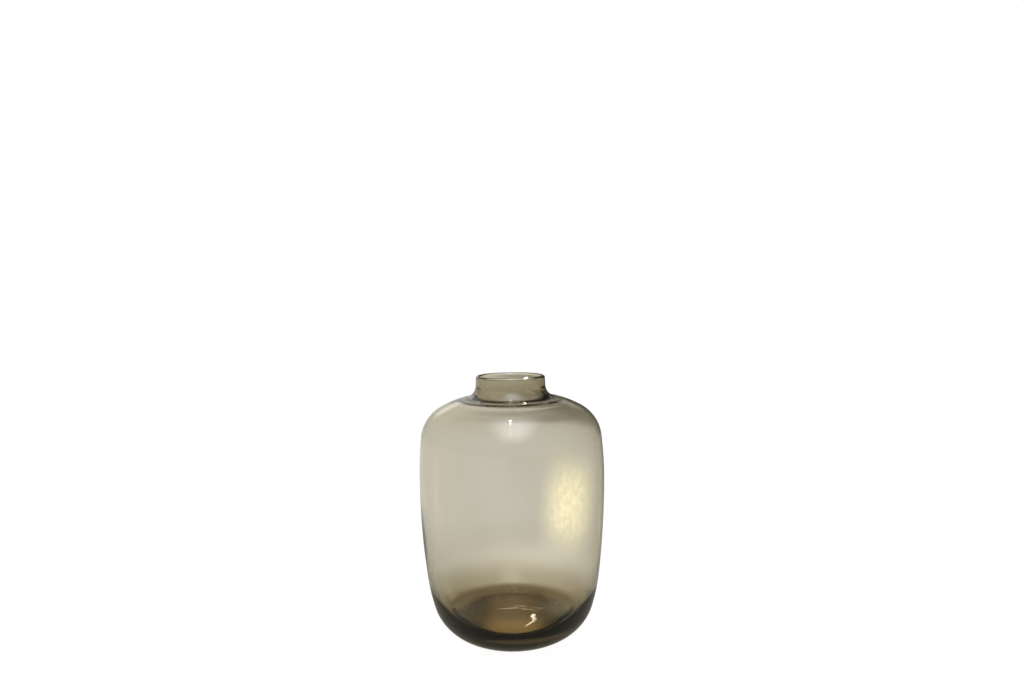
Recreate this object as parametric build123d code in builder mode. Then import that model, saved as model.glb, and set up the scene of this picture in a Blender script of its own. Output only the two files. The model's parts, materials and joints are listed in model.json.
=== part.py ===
from build123d import *
from math import cos, radians
import os

# A mouth-blown barrel vase of smoked glass, with a short wide neck and a heavy base.
# Millimetres. +Z is the axis of the vase. The origin is at the middle of the ring it stands on.
# The real vase is one piece of glass. It is divided here into the zones that a vase is described
# by: base, heel, lower body, belly, shoulder, crown, neck and lip. Each zone is a closed solid of
# its own wall thickness, and meets its neighbours face to face on a level plane.

# ---- driving dimensions -------------------------------------------------------------------

HEIGHT = 290.0
BELLY_RADIUS = 105.0
BELLY_HEIGHT = 176.0

# Outside, upwards from the belly: one chain of tangent arcs, then the straight neck.
SIDE_UP_RADIUS = 425.0
SIDE_UP_TURN = 6.3
SHOULDER_RADIUS = 41.3
SHOULDER_TURN = 55.0
CROWN_RADIUS = 108.5
CROWN_TURN = 17.0
ROOT_RADIUS = 14.2
NECK_LEAN = 2.5
ROOT_TURN = SIDE_UP_TURN + SHOULDER_TURN + CROWN_TURN - NECK_LEAN

# Outside, downwards from the belly to the standing ring.
SIDE_DOWN_RADIUS = 866.0
SIDE_DOWN_TURN = 7.5
LOW_SIDE_RADIUS = 197.0
LOW_SIDE_TURN = 9.2
FOOT_OUTER_RADIUS = 60.0
FOOT_INNER_RADIUS = 54.0
KICK_HEIGHT = 1.5

# Inside. The wall is thinnest at the belly, where the bubble was blown widest.
BELLY_WALL = 2.4
SHOULDER_WALL = 3.2
LOW_WALL = 2.9
LOW_INSIDE_HEIGHT = 60.0
FLOOR_HEIGHT = 18.0
FLOOR_CORNER_RADIUS = 74.0
FLOOR_FILLET = 3.0
BORE_RADIUS = 34.5
CROWN_INSIDE_TURN = 20.0
THROAT_TURN = SIDE_UP_TURN + SHOULDER_TURN + CROWN_INSIDE_TURN
LIP_FILLET = 2.0

# The bands that the section is cut into reach past the widest point by this much.
BAND_MARGIN = 1.0

# Heights of the level faces where one zone ends and the next begins.
BASE_TOP = 26.0
HEEL_TOP = 60.0
LOWER_BODY_TOP = 140.0
BELLY_TOP = 222.0
SHOULDER_TOP = 252.0
CROWN_TOP = 270.0
NECK_TOP = 284.0

# ---- half-section of the glass ------------------------------------------------------------

# In the section, X is the distance from the axis and Y is the height.
with BuildSketch(Plane.XZ) as glass:
    with BuildLine():
        belly = (BELLY_RADIUS, BELLY_HEIGHT)
        side_up = JernArc(belly, (0, 1), SIDE_UP_RADIUS, SIDE_UP_TURN)
        shoulder_arc = JernArc(side_up @ 1, side_up % 1, SHOULDER_RADIUS, SHOULDER_TURN)
        crown = JernArc(shoulder_arc @ 1, shoulder_arc % 1, CROWN_RADIUS, CROWN_TURN)
        root = JernArc(crown @ 1, crown % 1, ROOT_RADIUS, -ROOT_TURN)
        rise = HEIGHT - (root @ 1).Y
        neck_side = PolarLine(root @ 1, rise, direction=root % 1, length_mode=LengthMode.VERTICAL)

        side_down = JernArc(belly, (0, -1), SIDE_DOWN_RADIUS, -SIDE_DOWN_TURN)
        low_side = JernArc(side_down @ 1, side_down % 1, LOW_SIDE_RADIUS, -LOW_SIDE_TURN)
        heel = TangentArc(low_side @ 1, (FOOT_OUTER_RADIUS, 0), tangent=low_side % 1)
        foot = Line(heel @ 1, (FOOT_INNER_RADIUS, 0))
        kick = TangentArc((0, KICK_HEIGHT), foot @ 1, tangent=(1, 0))
        core = Line((0, KICK_HEIGHT), (0, FLOOR_HEIGHT))
        floor = Line(core @ 1, (FLOOR_CORNER_RADIUS, FLOOR_HEIGHT))

        belly_inside = (BELLY_RADIUS - BELLY_WALL, BELLY_HEIGHT)
        low_inside = TangentArc(
            belly_inside,
            ((side_down @ 1).X - LOW_WALL, LOW_INSIDE_HEIGHT),
            tangent=(0, -1),
        )
        heel_inside = TangentArc(low_inside @ 1, floor @ 1, tangent=low_inside % 1)
        side_inside = JernArc(belly_inside, (0, 1), SIDE_UP_RADIUS - BELLY_WALL, SIDE_UP_TURN)
        shoulder_inside = JernArc(
            side_inside @ 1,
            side_inside % 1,
            SHOULDER_RADIUS - SHOULDER_WALL,
            SHOULDER_TURN,
        )
        crown_inside = JernArc(
            shoulder_inside @ 1,
            shoulder_inside % 1,
            CROWN_RADIUS - SHOULDER_WALL,
            CROWN_INSIDE_TURN,
        )
        throat_width = (crown_inside @ 1).X - BORE_RADIUS
        throat_radius = throat_width / (1 - cos(radians(THROAT_TURN)))
        throat = JernArc(crown_inside @ 1, crown_inside % 1, throat_radius, -THROAT_TURN)
        bore = Line(throat @ 1, (BORE_RADIUS, HEIGHT))
        lip_top = Line(bore @ 1, neck_side @ 1)
    make_face()
    fillet(glass.vertices().sort_by_distance(floor @ 1)[0], FLOOR_FILLET)
    fillet(glass.vertices().group_by(Axis.Y)[-1], LIP_FILLET)


def keep_between(low, high):
    """Trims the section being drawn to the band between two heights."""
    with Locations((BELLY_RADIUS / 2, (low + high) / 2)):
        Rectangle(BELLY_RADIUS + 2 * BAND_MARGIN, high - low, mode=Mode.INTERSECT)


# ---- the zones of the glass ---------------------------------------------------------------

# The gather at the bottom: a solid disc with a shallow kick under it and a standing ring.
with BuildPart() as base:
    with BuildSketch(Plane.XZ):
        add(glass.sketch_local)
        keep_between(0, BASE_TOP)
    revolve(axis=Axis.Z)
base.part.label = "base"

# The heel, where the thick base thins out into the wall.
with BuildPart() as heel:
    with BuildSketch(Plane.XZ):
        add(glass.sketch_local)
        keep_between(BASE_TOP, HEEL_TOP)
    revolve(axis=Axis.Z)
heel.part.label = "heel"

# The lower body, a thin wall that widens slowly upwards.
with BuildPart() as lower_body:
    with BuildSketch(Plane.XZ):
        add(glass.sketch_local)
        keep_between(HEEL_TOP, LOWER_BODY_TOP)
    revolve(axis=Axis.Z)
lower_body.part.label = "lower_body"

# The belly, the widest and thinnest part of the bubble.
with BuildPart() as belly:
    with BuildSketch(Plane.XZ):
        add(glass.sketch_local)
        keep_between(LOWER_BODY_TOP, BELLY_TOP)
    revolve(axis=Axis.Z)
belly.part.label = "belly"

# The shoulder, where the wall turns in.
with BuildPart() as shoulder:
    with BuildSketch(Plane.XZ):
        add(glass.sketch_local)
        keep_between(BELLY_TOP, SHOULDER_TOP)
    revolve(axis=Axis.Z)
shoulder.part.label = "shoulder"

# The crown, nearly level, which thickens into the root of the neck.
with BuildPart() as crown:
    with BuildSketch(Plane.XZ):
        add(glass.sketch_local)
        keep_between(SHOULDER_TOP, CROWN_TOP)
    revolve(axis=Axis.Z)
crown.part.label = "crown"

# The neck: a short collar with a true round bore.
with BuildPart() as neck:
    with BuildSketch(Plane.XZ):
        add(glass.sketch_local)
        keep_between(CROWN_TOP, NECK_TOP)
    revolve(axis=Axis.Z)
neck.part.label = "neck"

# The lip, melted round by the flame.
with BuildPart() as lip:
    with BuildSketch(Plane.XZ):
        add(glass.sketch_local)
        keep_between(NECK_TOP, HEIGHT)
    revolve(axis=Axis.Z)
lip.part.label = "lip"

# ---- files --------------------------------------------------------------------------------

os.makedirs("parts", exist_ok=True)
export_step(base.part, "parts/base.step")
export_step(heel.part, "parts/heel.step")
export_step(lower_body.part, "parts/lower_body.step")
export_step(belly.part, "parts/belly.step")
export_step(shoulder.part, "parts/shoulder.step")
export_step(crown.part, "parts/crown.step")
export_step(neck.part, "parts/neck.step")
export_step(lip.part, "parts/lip.step")
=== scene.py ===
import json
import math

import bpy
from mathutils import Euler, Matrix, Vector, noise


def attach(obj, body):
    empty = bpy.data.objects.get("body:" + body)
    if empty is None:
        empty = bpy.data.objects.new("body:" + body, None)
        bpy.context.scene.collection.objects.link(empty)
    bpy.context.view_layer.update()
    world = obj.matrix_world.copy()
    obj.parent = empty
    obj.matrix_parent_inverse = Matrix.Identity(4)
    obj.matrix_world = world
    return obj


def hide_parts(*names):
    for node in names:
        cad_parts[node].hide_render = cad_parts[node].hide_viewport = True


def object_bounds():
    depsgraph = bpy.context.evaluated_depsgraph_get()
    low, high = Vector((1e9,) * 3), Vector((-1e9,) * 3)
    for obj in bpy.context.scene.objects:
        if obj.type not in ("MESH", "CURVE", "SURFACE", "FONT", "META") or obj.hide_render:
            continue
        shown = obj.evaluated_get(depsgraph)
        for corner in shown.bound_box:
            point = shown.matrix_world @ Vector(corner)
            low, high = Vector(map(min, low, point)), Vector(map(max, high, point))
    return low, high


# A mouth-blown barrel vase of smoked glass. One closed mesh of glass, with the unevenness of hand
# work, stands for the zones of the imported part. Metres, +Z up, the vase stands on Z = 0.

MM = 0.001
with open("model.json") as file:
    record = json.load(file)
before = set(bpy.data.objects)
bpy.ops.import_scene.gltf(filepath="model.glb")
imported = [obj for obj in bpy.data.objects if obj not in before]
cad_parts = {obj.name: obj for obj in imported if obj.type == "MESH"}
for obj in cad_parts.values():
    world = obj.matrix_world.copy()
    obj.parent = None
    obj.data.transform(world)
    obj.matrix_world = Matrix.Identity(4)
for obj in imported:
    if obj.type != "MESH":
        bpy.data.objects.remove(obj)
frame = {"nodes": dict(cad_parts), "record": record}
CAD_LOW, CAD_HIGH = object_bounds()

# ---- sizes, read from the frame where it has them -------------------------------------------

HEIGHT = CAD_HIGH.z
BELLY_RADIUS = (CAD_HIGH.x - CAD_LOW.x) / 2
BORE_RADIUS = frame["record"]["mounts"][1]["dims"]["r_mm"] * MM

BELLY_HEIGHT = 176 * MM
BELLY_WALL = 2.4 * MM
SHOULDER_WALL = 3.2 * MM
LOW_WALL = 2.9 * MM
LOW_INSIDE_HEIGHT = 60 * MM
FOOT_OUTER_RADIUS = 60 * MM
FOOT_INNER_RADIUS = 54 * MM
KICK_HEIGHT = 1.5 * MM
FLOOR_HEIGHT = 18 * MM
FLOOR_CORNER_RADIUS = 74 * MM

# Outside of the wall above and below the belly, as arcs: radius in metres, turn in degrees.
SIDE_UP = (425 * MM, 6.3)
SHOULDER = (41.3 * MM, 55.0)
CROWN = (108.5 * MM, 17.0)
CROWN_INSIDE_TURN = 20.0
NECK_LEAN = 2.5
ROOT = (14.2 * MM, -(SIDE_UP[1] + SHOULDER[1] + CROWN[1] - NECK_LEAN))
SIDE_DOWN = (866 * MM, -7.5)
LOW_SIDE = (197 * MM, -9.2)

# How far from each sharp corner of the section its rounding reaches.
FOOT_ROUNDING = 2.5 * MM
LIP_ROUNDING = 2.2 * MM
FLOOR_ROUNDING = 1.6 * MM

# How finely the glass is divided: round the axis, and along the section in metres.
AROUND = 240
FINE, MEDIUM, COARSE = 1.0 * MM, 1.6 * MM, 3.5 * MM

# ---- the unevenness of hand work ------------------------------------------------------------

# In the wall: broad waves, fine lines drawn upwards, and rings tooled round the neck.
BROAD_WAVE = 0.22 * MM
BROAD_LENGTH = 0.06
BROAD_RISE = 0.075
DRAWN_LINES = 0.02 * MM
DRAWN_RISE = 0.11
NECK_TOOLING = 0.035 * MM
NECK_TOOLING_LENGTH = 3.6 * MM
CROWN_RINGS = 0.045 * MM
CROWN_RING_LENGTH = 6.2 * MM

# The jacks left the crown thicker in a ring round the root of the neck.
JACK_RING = 0.45 * MM
JACK_RING_RADIUS = 61 * MM
JACK_RING_WIDTH = 4.5 * MM

# In the inner floor: waves, folds towards the back, a low mound, and a little tilt, so that it
# is higher on the left. One S-shaped ripple lies at the front right. It is a wave along Y whose
# height grows with the distance of X from where it is level.
FLOOR_WAVE = 0.12 * MM
FLOOR_FOLDS = 0.12 * MM
FLOOR_MOUND = 0.3 * MM
FLOOR_MOUND_RADIUS = 70 * MM
FLOOR_TILT = -0.0065
SNAKE_SLOPE = 0.0090
SNAKE_X, SNAKE_Y = 22 * MM, -46 * MM
SNAKE_LEVEL_X = 20 * MM
SNAKE_LENGTH = 36 * MM
UNDERSIDE_WAVE = 0.05 * MM
UNDERSIDE_LENGTH = 0.040

# ---- the section ----------------------------------------------------------------------------

class Pen:
    """Draws one line of the half-section, in (radius, height), as a chain of tangent arcs."""

    def __init__(self, start, heading, step):
        self.points = [Vector(start)]
        self.heading = math.radians(heading)
        self.step = step

    def pace(self, step):
        """Changes how far apart the points of the next stretches are."""
        self.step = step
        return self

    def arc(self, radius, turn):
        """A tangent arc. A positive turn bends to the left."""
        turn = math.radians(turn)
        side = math.copysign(1, turn)
        here = self.points[-1]
        centre = here + side * radius * Vector((-math.sin(self.heading), math.cos(self.heading)))
        count = max(2, math.ceil(radius * abs(turn) / self.step))
        spoke = here - centre
        for i in range(1, count + 1):
            a = turn * i / count
            turned = Vector((
                spoke.x * math.cos(a) - spoke.y * math.sin(a),
                spoke.x * math.sin(a) + spoke.y * math.cos(a),
            ))
            self.points.append(centre + turned)
        self.heading += turn
        return self

    def arc_to(self, end):
        """A tangent arc that ends at a point."""
        chord = Vector(end) - self.points[-1]
        off = math.atan2(chord.y, chord.x) - self.heading
        off = math.atan2(math.sin(off), math.cos(off))
        return self.arc(chord.length / (2 * abs(math.sin(off))), math.degrees(2 * off))

    def line_to(self, end):
        """A straight line to a point."""
        here = self.points[-1]
        run = Vector(end) - here
        count = max(2, math.ceil(run.length / self.step))
        self.points += [here + run * (i / count) for i in range(1, count + 1)]
        self.heading = math.atan2(run.y, run.x)
        return self


def soften(line, corner, reach, steps=10):
    """Rounds the sharp corner of a line, from reach before it to reach after it."""
    corner = Vector(corner)
    at = min(range(len(line)), key=lambda i: (line[i] - corner).length)
    first, last = at, at
    while (line[first] - corner).length < reach:
        first -= 1
    while (line[last] - corner).length < reach:
        last += 1
    start, end = line[first], line[last]
    curve = []
    for i in range(steps + 1):
        t = i / steps
        curve.append(start * (1 - t) ** 2 + corner * (2 * t * (1 - t)) + end * t ** 2)
    return line[:first] + curve + line[last + 1:]


def half_section():
    """The outline of the glass, from the axis under the kick round to the axis on the floor."""
    belly = (BELLY_RADIUS, BELLY_HEIGHT)
    up = Pen(belly, 90, COARSE).arc(*SIDE_UP)
    up.pace(MEDIUM).arc(*SHOULDER).pace(FINE).arc(*CROWN).arc(*ROOT)
    rise = HEIGHT - up.points[-1].y
    lip_outer = (up.points[-1].x - rise * math.tan(math.radians(NECK_LEAN)), HEIGHT)
    up.line_to(lip_outer)

    down = Pen(belly, -90, COARSE).arc(*SIDE_DOWN)
    low_inside = (down.points[-1].x - LOW_WALL, LOW_INSIDE_HEIGHT)
    down.pace(MEDIUM).arc(*LOW_SIDE).arc_to((FOOT_OUTER_RADIUS, 0))
    down.pace(FINE).line_to((FOOT_INNER_RADIUS, 0))
    kick = Pen((0, KICK_HEIGHT), 0, MEDIUM).arc_to((FOOT_INNER_RADIUS, 0))

    belly_inside = (BELLY_RADIUS - BELLY_WALL, BELLY_HEIGHT)
    lip_inner = (BORE_RADIUS, HEIGHT)
    up_inside = Pen(belly_inside, 90, COARSE).arc(SIDE_UP[0] - BELLY_WALL, SIDE_UP[1])
    up_inside.pace(MEDIUM).arc(SHOULDER[0] - SHOULDER_WALL, SHOULDER[1])
    up_inside.pace(FINE).arc(CROWN[0] - SHOULDER_WALL, CROWN_INSIDE_TURN)
    throat_turn = up_inside.heading - math.radians(90)
    throat_radius = (up_inside.points[-1].x - BORE_RADIUS) / (1 - math.cos(throat_turn))
    up_inside.arc(throat_radius, -math.degrees(throat_turn)).line_to(lip_inner)
    corner = (FLOOR_CORNER_RADIUS, FLOOR_HEIGHT)
    down_inside = Pen(belly_inside, -90, COARSE).arc_to(low_inside)
    down_inside.pace(MEDIUM).arc_to(corner).line_to((0, FLOOR_HEIGHT))

    rim = Pen(lip_outer, 180, FINE).line_to(lip_inner)
    line = kick.points + down.points[::-1][1:] + up.points[1:] + rim.points[1:]
    line += up_inside.points[::-1][1:] + down_inside.points[1:]
    line = soften(line, (FOOT_INNER_RADIUS, 0), FOOT_ROUNDING)
    line = soften(line, (FOOT_OUTER_RADIUS, 0), FOOT_ROUNDING)
    line = soften(line, lip_outer, LIP_ROUNDING)
    line = soften(line, lip_inner, LIP_ROUNDING)
    return soften(line, corner, FLOOR_ROUNDING, steps=6)


# ---- the glass ------------------------------------------------------------------------------

def wobble(x, y, z, seed):
    """Smooth noise of a place, about -1 to 1. A step of 1 is about half a wave."""
    return noise.noise(Vector((x + seed, y - seed, z + 2 * seed)))


def ease(low, high, value):
    """0 below low, 1 above high, and a smooth step between."""
    t = min(max((value - low) / (high - low), 0), 1)
    return t * t * (3 - 2 * t)


def swell(a, r, z, along, inside):
    """How far hand work has moved the skin of the glass outwards, at angle a of the section."""
    c, s = math.cos(a), math.sin(a)
    x, y = r * c, r * s
    seed = 31 if inside else 7
    off_foot = ease(1 * MM, 12 * MM, z)
    near_neck = ease(238 * MM, 262 * MM, z)
    in_wall = ease(40 * MM, 90 * MM, z) * (1 - near_neck)
    broad = BROAD_WAVE * wobble(x / BROAD_LENGTH, y / BROAD_LENGTH, z / BROAD_RISE, seed)
    broad *= 1 - 0.4 * near_neck
    drawn = DRAWN_LINES * wobble(6 * c, 6 * s, z / DRAWN_RISE, seed + 3) * in_wall
    tooled = NECK_TOOLING * wobble(1.3 * c, 1.3 * s, along / NECK_TOOLING_LENGTH, seed + 5)
    tooled *= near_neck * (1 - ease(280 * MM, 288 * MM, z))
    if not inside and z > BELLY_HEIGHT:
        rings = ease(46 * MM, 52 * MM, r) * (1 - ease(58 * MM, 70 * MM, r))
        rings *= 0.5 + 0.5 * wobble(1.1 * c, 1.1 * s, 0, 41)
        tooled += CROWN_RINGS * math.sin(2 * math.pi * r / CROWN_RING_LENGTH) * rings
    if inside and z > BELLY_HEIGHT:
        height = JACK_RING * (0.7 + 0.6 * wobble(2 * c, 2 * s, 0, 43))
        tooled -= height * math.exp(-((r - JACK_RING_RADIUS) / JACK_RING_WIDTH) ** 2)
    return broad * off_foot + drawn + tooled


def ripple(x, y, r, z, inside):
    """The waves that the soft glass of the base froze with, as a change of height."""
    if inside:
        on_floor = 1 - ease(20 * MM, 27 * MM, z)
        wave = FLOOR_WAVE * wobble(x / 0.034, y / 0.026, 0, 11)
        folds = FLOOR_FOLDS * wobble(x / 0.018, y / 0.007, 0, 17) * ease(-20 * MM, 10 * MM, y)
        turns = 2 * math.pi * (y - SNAKE_Y) / SNAKE_LENGTH
        snake = SNAKE_SLOPE * (x - SNAKE_LEVEL_X) * math.sin(turns)
        snake *= 1 - ease(12 * MM, 34 * MM, math.hypot(x - SNAKE_X, y - SNAKE_Y))
        mound = FLOOR_MOUND * math.cos(math.pi * min(r / FLOOR_MOUND_RADIUS, 1))
        tilt = FLOOR_TILT * x
        return (wave + folds + snake + mound + tilt) * on_floor
    if z > 10 * MM:
        return 0
    under = 1 - ease(44 * MM, 53 * MM, r)
    return UNDERSIDE_WAVE * wobble(x / UNDERSIDE_LENGTH, y / UNDERSIDE_LENGTH, 0, 23) * under


def glass_mesh(name):
    """The closed body of glass: the section turned round the axis, and made uneven by hand work."""
    line = half_section()
    top_of_lip = max(range(len(line)), key=lambda i: line[i].y)
    points = []
    along = 0
    for i, (r, z) in enumerate(line[1:-1], start=1):
        ahead = line[i + 1] - line[i - 1]
        normal = Vector((ahead.y, -ahead.x)).normalized()
        along += (line[i] - line[i - 1]).length
        inside = i > top_of_lip
        for k in range(AROUND):
            a = 2 * math.pi * k / AROUND
            move = swell(a, r, z, along, inside)
            rr = r + normal.x * move
            zz = z + normal.y * move
            x, y = rr * math.cos(a), rr * math.sin(a)
            points.append(Vector((x, y, zz + ripple(x, y, rr, zz, inside))))
    rings = len(line) - 2
    bottom = Vector((0, 0, line[0].y + ripple(0, 0, 0, line[0].y, False)))
    top = Vector((0, 0, line[-1].y + ripple(0, 0, 0, line[-1].y, True)))
    points += [bottom, top]
    last = (rings - 1) * AROUND
    faces = []
    for k in range(AROUND):
        after = (k + 1) % AROUND
        faces.append((rings * AROUND, after, k))
        faces.append((rings * AROUND + 1, last + k, last + after))
        for low in range(0, last, AROUND):
            high = low + AROUND
            faces.append((low + k, low + after, high + after, high + k))
    mesh = bpy.data.meshes.new(name)
    mesh.from_pydata(points, [], faces)
    mesh.update()
    mesh.shade_smooth()
    piece = bpy.data.objects.new(name, mesh)
    bpy.context.collection.objects.link(piece)
    return piece


# Absorbed in a metre of glass, for each of red, green and blue: (1 - colour) * density.
SMOKE_COLOUR = (0.54, 0.475, 0.273)
SMOKE_DENSITY = 200
GLASS_IOR = 1.5
# The ring that the vase stands on is ground rough, up to where the polished glass begins.
GROUND_ROUGHNESS = 0.35
GROUND_UP_TO = 0.1 * MM
POLISHED_FROM = 0.5 * MM


def smoked_glass():
    """Clear glass coloured all through. Its skin is fire-polished, and ground where it stands."""
    material = bpy.data.materials.new("smoked_glass")
    material.use_nodes = True
    nodes, links = material.node_tree.nodes, material.node_tree.links
    surface = nodes["Principled BSDF"]
    surface.inputs["Base Color"].default_value = (1, 1, 1, 1)
    surface.inputs["IOR"].default_value = GLASS_IOR
    surface.inputs["Transmission Weight"].default_value = 1.0
    where = nodes.new("ShaderNodeNewGeometry")
    split = nodes.new("ShaderNodeSeparateXYZ")
    links.new(where.outputs["Position"], split.inputs["Vector"])
    ground = nodes.new("ShaderNodeMapRange")
    ground.inputs["From Min"].default_value = GROUND_UP_TO
    ground.inputs["From Max"].default_value = POLISHED_FROM
    ground.inputs["To Min"].default_value = GROUND_ROUGHNESS
    ground.inputs["To Max"].default_value = 0.0
    links.new(split.outputs["Z"], ground.inputs["Value"])
    links.new(ground.outputs["Result"], surface.inputs["Roughness"])
    smoke = nodes.new("ShaderNodeVolumeAbsorption")
    smoke.inputs["Color"].default_value = (*SMOKE_COLOUR, 1)
    smoke.inputs["Density"].default_value = SMOKE_DENSITY
    links.new(smoke.outputs["Volume"], nodes["Material Output"].inputs["Volume"])
    return material


vase = glass_mesh("blown_glass")
vase.data.materials.append(smoked_glass())
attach(vase, "root")
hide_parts(*frame["nodes"])


# ---- floor, light and camera ----------------------------------------------------------------

VASE_MIDDLE = Vector((0, 0, 0.14))

# The wall round the vase, as (azimuth in degrees from +Y towards +X, colour).
WALL_TONES = [
    (-180, (0.45, 0.45, 0.43)),
    (-90, (0.60, 0.59, 0.56)),
    (-40, (0.80, 0.79, 0.75)),
    (-9, (0.80, 0.79, 0.75)),
    (-4, (0.33, 0.27, 0.20)),
    (1, (0.31, 0.25, 0.19)),
    (4, (0.15, 0.12, 0.10)),
    (12, (0.09, 0.09, 0.07)),
    (90, (0.09, 0.09, 0.07)),
    (125, (0.40, 0.39, 0.36)),
    (180, (0.45, 0.45, 0.43)),
]
CEILING_TONE = (0.40, 0.40, 0.39)
# Where the wall gives way to the ceiling, and to the far table, as Z over distance.
CEILING_RISE = (0.55, 0.80)
HORIZON_RISE = (0.25, 0.02)
WHITE_OF_ROOM = 1.05

# The white table, a little below the foot so that the two never touch.
TABLE_RADIUS = 8.0
TABLE_DROP = 0.3 * MM
TABLE_PAINT = (0.12, 0.12, 0.12)
WHITE_OF_TABLE = (0.97, 0.97, 0.97)
# Where the glass shows it through, as (distance from the vase's axis, colour): a painted shadow
# round the foot, darkest from 0.077 to 0.098 and paler further out.
PAINTED_SHADOW_THROUGH_GLASS = [
    (0.068, (0.85, 0.78, 0.72)),
    (0.077, (0.42, 0.34, 0.22)),
    (0.098, (0.40, 0.33, 0.23)),
    (0.118, (0.80, 0.77, 0.72)),
    (0.150, (0.68, 0.66, 0.62)),
    (0.220, (0.76, 0.75, 0.73)),
    (0.400, (0.82, 0.82, 0.82)),
]
# Far behind the vase, as (X over distance, colour), and the distances where this takes over.
SEEN_FAR = [
    (-0.50, (0.70, 0.68, 0.64)),
    (-0.10, (0.82, 0.79, 0.72)),
    (0.00, (0.50, 0.46, 0.40)),
    (0.10, (0.38, 0.35, 0.30)),
    (0.50, (0.32, 0.30, 0.26)),
]
FAR_REACH = (1.2, 2.4)
# Painted light and shade under the base, as (X, colour): bright and warm in the middle and shaded
# to the sides, with a brighter painted patch of light at the front of it. The patch fades in along
# Y and out from the middle, and the base ends at a distance from the axis.
PAINTED_LIGHT_UNDER_BASE = [
    (-0.060, (0.42, 0.38, 0.30)),
    (-0.036, (0.50, 0.44, 0.34)),
    (-0.022, (1.10, 0.94, 0.76)),
    (0.000, (1.20, 1.03, 0.84)),
    (0.022, (1.10, 0.94, 0.76)),
    (0.038, (0.50, 0.44, 0.34)),
    (0.060, (0.42, 0.38, 0.30)),
]
BASE_FRONT_PAINTED_LIGHT = (2.40, 2.00, 1.50)
BASE_FRONT_REACH = (0.0, -0.055)
BASE_MIDDLE_REACH = (0.045, 0.015)
BASE_END = (0.058, 0.068)
# The pool of light that the vase gathers on the table behind it, and the shade in front of it,
# which comes in along Y over distance.
POOL_PLACE = (0.025, 0.165, 0)
POOL_RADIUS = 0.16
POOL_TONE = (1.05, 1.03, 1.01)
FRONT_TONE = (0.28, 0.25, 0.20)
FRONT_REACH = (0.3, -0.6)
# Where the glass mirrors the table: near the vase as (distance, colour), a painted shade round the
# foot that deepens away from it, with painted light under the base; further off as (X, colour); and
# the distances where the second takes over.
MIRRORED_PAINTED_SHADE_NEAR = [
    (0.060, (0.90, 0.88, 0.82)),
    (0.068, (0.26, 0.24, 0.17)),
    (0.110, (0.24, 0.22, 0.16)),
    (0.160, (0.16, 0.15, 0.12)),
    (0.200, (0.10, 0.095, 0.08)),
]
MIRRORED_ACROSS = [
    (-0.6, (0.80, 0.78, 0.72)),
    (-0.2, (0.60, 0.58, 0.52)),
    (0.0, (0.34, 0.32, 0.27)),
    (0.25, (0.06, 0.06, 0.04)),
]
MIRRORED_REACH = (0.15, 0.6)

# The speckle of a grainy card: its detail, its range, and how dim it is at the dimmest.
GRAIN_DETAIL = 3
GRAIN_RANGE = (0.35, 0.6)
GRAIN_DIMMEST = 0.7


class Shader:
    """The node tree of a material or a world, with a short way to say each step used here."""

    def __init__(self, owner):
        owner.use_nodes = True
        self.nodes = owner.node_tree.nodes
        self.links = owner.node_tree.links

    def node(self, kind, **inputs):
        """A new node, with its inputs set or linked by name. An underscore stands for a space."""
        part = self.nodes.new(kind)
        for name, value in inputs.items():
            self.feed(part.inputs[name.replace("_", " ")], value)
        return part

    def feed(self, socket, value):
        """Links another node's socket into this one, or sets a number, a place or a colour."""
        if isinstance(value, bpy.types.NodeSocket):
            self.links.new(value, socket)
        elif socket.type == "RGBA":
            socket.default_value = (*value, 1)
        else:
            socket.default_value = value

    def axes(self, place):
        """A place or a direction split into X, Y and Z."""
        return self.node("ShaderNodeSeparateXYZ", Vector=place).outputs

    def math(self, operation, *values):
        """The result of a sum with sockets or numbers."""
        part = self.node("ShaderNodeMath")
        part.operation = operation
        for socket, value in zip(part.inputs, values):
            self.feed(socket, value)
        return part.outputs["Value"]

    def distance(self, place, other=(0, 0, 0)):
        """How far one place is from another."""
        part = self.node("ShaderNodeVectorMath")
        part.operation = "DISTANCE"
        self.feed(part.inputs[0], place)
        self.feed(part.inputs[1], other)
        return part.outputs["Value"]

    def step(self, value, start, end):
        """A smooth step of a value: 0 at start, 1 at end."""
        part = self.node("ShaderNodeMapRange", From_Min=start, From_Max=end)
        part.interpolation_type = "SMOOTHSTEP"
        self.feed(part.inputs["Value"], value)
        return part.outputs["Result"]

    def ramp(self, value, stops):
        """A colour from stops of (value, colour)."""
        low, high = stops[0][0], stops[-1][0]
        part = self.node("ShaderNodeMapRange", Value=value, From_Min=low, From_Max=high)
        tone = self.node("ShaderNodeValToRGB", Fac=part.outputs["Result"])
        elements = tone.color_ramp.elements
        while len(elements) < len(stops):
            elements.new(0.5)
        for element, (at, colour) in zip(elements, stops):
            element.position = (at - low) / (high - low)
            element.color = (*colour, 1)
        return tone.outputs["Color"]

    def blend(self, factor, one, other):
        """One colour where the factor is 0, the other where it is 1."""
        part = self.node("ShaderNodeMix")
        part.data_type = "RGBA"
        self.feed(part.inputs[0], factor)
        self.feed(part.inputs[6], one)
        self.feed(part.inputs[7], other)
        return part.outputs[2]

    def mix(self, factor, one, other):
        """One shader where the factor is 0, the other where it is 1."""
        part = self.node("ShaderNodeMixShader", Fac=factor)
        self.feed(part.inputs[1], one)
        self.feed(part.inputs[2], other)
        return part.outputs["Shader"]


def new_material(name):
    """A new material without a surface yet: the material, its shader and its output socket."""
    material = bpy.data.materials.new(name)
    tree = Shader(material)
    tree.nodes.remove(tree.nodes["Principled BSDF"])
    return material, tree, tree.nodes["Material Output"].inputs["Surface"]


def far_tone(tree, side, depth):
    """The table far off, for a place or direction given by X and Y over distance."""
    behind = tree.ramp(side, SEEN_FAR)
    return tree.blend(tree.step(depth, *FRONT_REACH), behind, FRONT_TONE)


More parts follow.
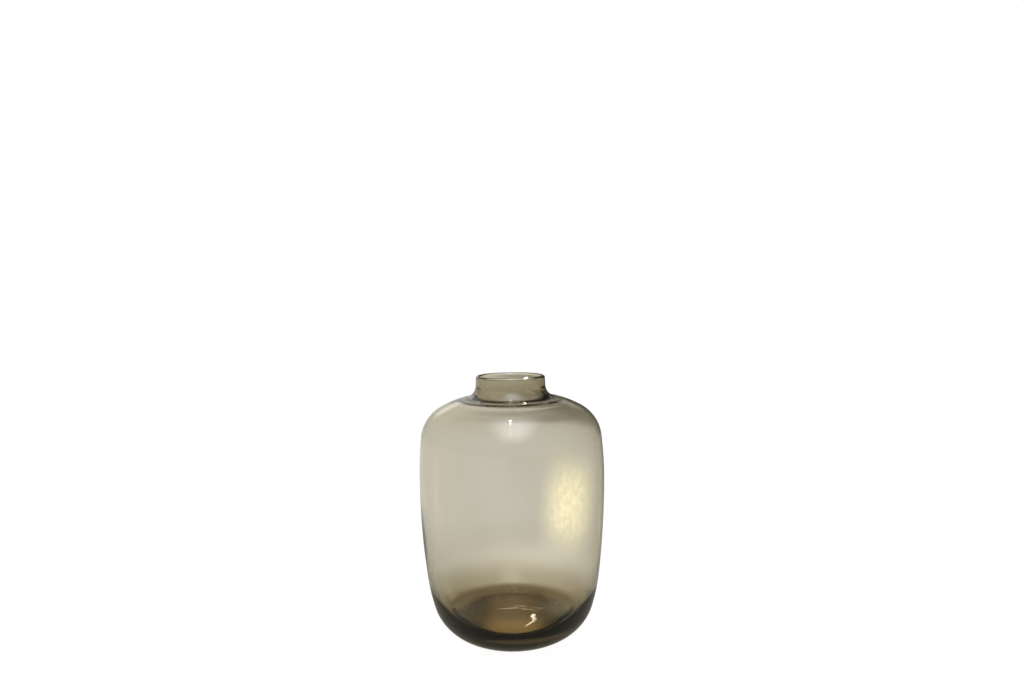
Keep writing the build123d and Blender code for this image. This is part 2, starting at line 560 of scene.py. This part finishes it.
def tone_through(tree, place, away):
    """The colour of a place on the table where the glass shows it through."""
    axes = tree.axes(place)
    side = tree.math("DIVIDE", axes["X"], away)
    depth = tree.math("DIVIDE", axes["Y"], away)
    # Painted shadow round the foot, by distance from the axis.
    tone = tree.ramp(away, PAINTED_SHADOW_THROUGH_GLASS)
    tone = tree.blend(tree.step(away, *FAR_REACH), tone, tree.ramp(side, SEEN_FAR))
    from_pool = tree.distance(place, POOL_PLACE)
    tone = tree.blend(tree.step(from_pool, POOL_RADIUS, 0), tone, POOL_TONE)
    tone = tree.blend(tree.step(depth, *FRONT_REACH), tone, FRONT_TONE)
    # Painted light under the base, with its brighter painted patch at the front.
    middle = tree.step(tree.math("ABSOLUTE", axes["X"]), *BASE_MIDDLE_REACH)
    patch = tree.math("MULTIPLY", tree.step(axes["Y"], *BASE_FRONT_REACH), middle)
    base = tree.blend(patch, tree.ramp(axes["X"], PAINTED_LIGHT_UNDER_BASE), BASE_FRONT_PAINTED_LIGHT)
    return tree.blend(tree.step(away, *BASE_END), base, tone)


def tone_mirrored(tree, place, away):
    """The colour of a place on the table where the glass mirrors it."""
    # Painted shade round the foot, with painted light under the base.
    near = tree.ramp(away, MIRRORED_PAINTED_SHADE_NEAR)
    across = tree.ramp(tree.axes(place)["X"], MIRRORED_ACROSS)
    return tree.blend(tree.step(away, *MIRRORED_REACH), near, across)


def white_table():
    """A white table lit from inside. The glass sees its own shadow and tint round its foot."""
    bpy.ops.mesh.primitive_circle_add(vertices=96, radius=TABLE_RADIUS, fill_type="NGON")
    table = bpy.context.object
    table.name = "table"
    table.location.z = -TABLE_DROP
    material, tree, out = new_material("white_table")
    place = tree.node("ShaderNodeNewGeometry").outputs["Position"]
    away = tree.distance(place)
    ray = tree.node("ShaderNodeLightPath").outputs
    seen = tree.blend(
        ray["Is Reflection Ray"],
        tone_through(tree, place, away),
        tone_mirrored(tree, place, away),
    )
    seen = tree.blend(ray["Is Camera Ray"], seen, WHITE_OF_TABLE)
    both = tree.node("ShaderNodeAddShader")
    tree.feed(both.inputs[0], tree.node("ShaderNodeBsdfDiffuse", Color=TABLE_PAINT).outputs["BSDF"])
    tree.feed(both.inputs[1], tree.node("ShaderNodeEmission", Color=seen).outputs["Emission"])
    tree.feed(out, both.outputs["Shader"])
    table.data.materials.append(material)


def studio_room():
    """White where the camera sees it. The glass sees a wall round it, bright at the back left."""
    world = bpy.data.worlds.new("room")
    bpy.context.scene.world = world
    tree = Shader(world)
    shown = tree.nodes["Background"]
    tree.feed(shown.inputs["Color"], (1, 1, 1))
    tree.feed(shown.inputs["Strength"], WHITE_OF_ROOM)
    axes = tree.axes(tree.node("ShaderNodeTexCoord").outputs["Generated"])
    ray = tree.node("ShaderNodeLightPath").outputs
    azimuth = tree.math("ARCTAN2", axes["X"], axes["Y"])
    wall = tree.ramp(azimuth, [(math.radians(degrees), tone) for degrees, tone in WALL_TONES])
    tone = tree.blend(tree.step(axes["Z"], *CEILING_RISE), wall, CEILING_TONE)
    level = tree.step(axes["Z"], *HORIZON_RISE)
    level = tree.math("MULTIPLY", level, ray["Is Transmission Ray"])
    tone = tree.blend(level, tone, far_tone(tree, axes["X"], axes["Y"]))
    room = tree.node("ShaderNodeBackground", Color=tone).outputs["Background"]
    surface = tree.mix(ray["Is Camera Ray"], room, shown.outputs["Background"])
    tree.feed(tree.nodes["World Output"].inputs["Surface"], surface)


def aim(item, target):
    """Turns a card, a lamp or a camera to face a place."""
    item.rotation_euler = (Vector(target) - item.location).to_track_quat("-Z", "Y").to_euler()


def toward(azimuth, elevation, distance):
    """A place seen from the vase at an azimuth from +Y towards +X, and at an elevation."""
    a, e = math.radians(azimuth), math.radians(elevation)
    ray = Vector((math.sin(a) * math.cos(e), math.cos(a) * math.cos(e), math.sin(e)))
    return VASE_MIDDLE + distance * ray


def card(name, azimuth, elevation, distance, size, colour, strength, soft=0.2, grain=0, beside=0):
    """A glowing card that only the glass sees. Its edges fade over the outer part of it."""
    bpy.ops.mesh.primitive_plane_add(size=1)
    item = bpy.context.object
    item.name = name
    beside = Vector((beside, 0, 0))
    item.location = toward(azimuth, elevation, distance) + beside
    item.scale = (size[0], size[1], 1)
    aim(item, VASE_MIDDLE + beside)
    material, tree, out = new_material(name)
    place = tree.node("ShaderNodeTexCoord").outputs["Object"]
    axes = tree.axes(place)
    opacity = 1
    for axis in "XY":
        fade = tree.step(tree.math("ABSOLUTE", axes[axis]), 0.5, 0.5 - soft)
        opacity = tree.math("MULTIPLY", opacity, fade)
    if grain:
        speckle = tree.node("ShaderNodeTexNoise", Scale=grain, Detail=GRAIN_DETAIL, Vector=place)
        low, high = GRAIN_RANGE
        patchy = tree.node("ShaderNodeMapRange", From_Min=low, From_Max=high, To_Min=GRAIN_DIMMEST)
        tree.feed(patchy.inputs["Value"], speckle.outputs["Fac"])
        opacity = tree.math("MULTIPLY", opacity, patchy.outputs["Result"])
    glow = tree.node("ShaderNodeEmission", Color=colour, Strength=strength).outputs["Emission"]
    clear = tree.node("ShaderNodeBsdfTransparent").outputs["BSDF"]
    tree.feed(out, tree.mix(opacity, clear, glow))
    item.data.materials.append(material)
    item.visible_camera = False
    item.visible_diffuse = False
    item.visible_shadow = False


def softbox(name, place, size, power):
    """A soft light that the glass doesn't show."""
    data = bpy.data.lights.new(name, "AREA")
    data.shape = "RECTANGLE"
    data.size, data.size_y = size
    data.energy = power
    lamp = bpy.data.objects.new(name, data)
    bpy.context.collection.objects.link(lamp)
    lamp.location = place
    aim(lamp, VASE_MIDDLE)
    lamp.visible_camera = False
    lamp.visible_glossy = False
    lamp.visible_transmission = False


CAMERA_PLACE = (0, -742.7 * MM, 364.5 * MM)
CAMERA_LENS = 23.006
SENSOR_WIDTH = 36
# In degrees: how far the camera looks down, turns aside and leans.
CAMERA_DOWN = 2.74
CAMERA_TURN = -0.20
CAMERA_ROLL = -0.88


def camera():
    """The camera, where the photographer stood."""
    data = bpy.data.cameras.new("camera")
    data.sensor_width = SENSOR_WIDTH
    data.lens = CAMERA_LENS
    data.clip_start = 0.01
    eye = bpy.data.objects.new("camera", data)
    bpy.context.collection.objects.link(eye)
    eye.location = CAMERA_PLACE
    turn = Euler((math.radians(90 - CAMERA_DOWN), 0, math.radians(CAMERA_TURN))).to_matrix()
    roll = Euler((0, 0, math.radians(CAMERA_ROLL))).to_matrix()
    eye.rotation_euler = (turn @ roll).to_euler()
    bpy.context.scene.camera = eye


white_table()
studio_room()
softbox("overhead", (0, 0, 2.2), (2.4, 2.4), 30)
# Each card: azimuth and elevation in degrees, distance and size in metres, colour, strength.
card("high_window", 180, 70, 1.4, (1.3, 3.0), (0.86, 0.94, 1.0), 4.4, soft=0.45, beside=0.08)
card("lamp_over_camera", 180, 78, 1.6, (0.05, 1.7), (1.0, 0.98, 0.93), 60, beside=-0.015)
card("strip_lamp", 4.15, 28.5, 1.5, (0.014, 0.25), (1.0, 0.96, 0.88), 2500, soft=0.1)
card("back_lamp", 0.5, 50, 1.5, (0.10, 0.08), (1.0, 0.95, 0.80), 14, soft=0.1)
card("back_strip", 3, 20.5, 1.5, (0.35, 0.025), (1.0, 0.95, 0.85), 6, soft=0.3)
card("left_wall", -24, 22, 1.5, (0.7, 0.5), (1.0, 0.98, 0.93), 1.5, soft=0.4)
card("right_wall", 17, 22, 1.5, (0.5, 0.4), (1.0, 0.97, 0.90), 0.4, soft=0.4)
card("warm_window", 27.4, -15, 0.187, (0.11, 0.17), (1.0, 0.96, 0.74), 1.85, soft=0.45, grain=14)
camera()
scene = bpy.context.scene
scene.view_settings.view_transform = "Standard"
scene.cycles.max_bounces = 32
scene.cycles.transmission_bounces = 24
scene.cycles.glossy_bounces = 16
scene.cycles.diffuse_bounces = 6
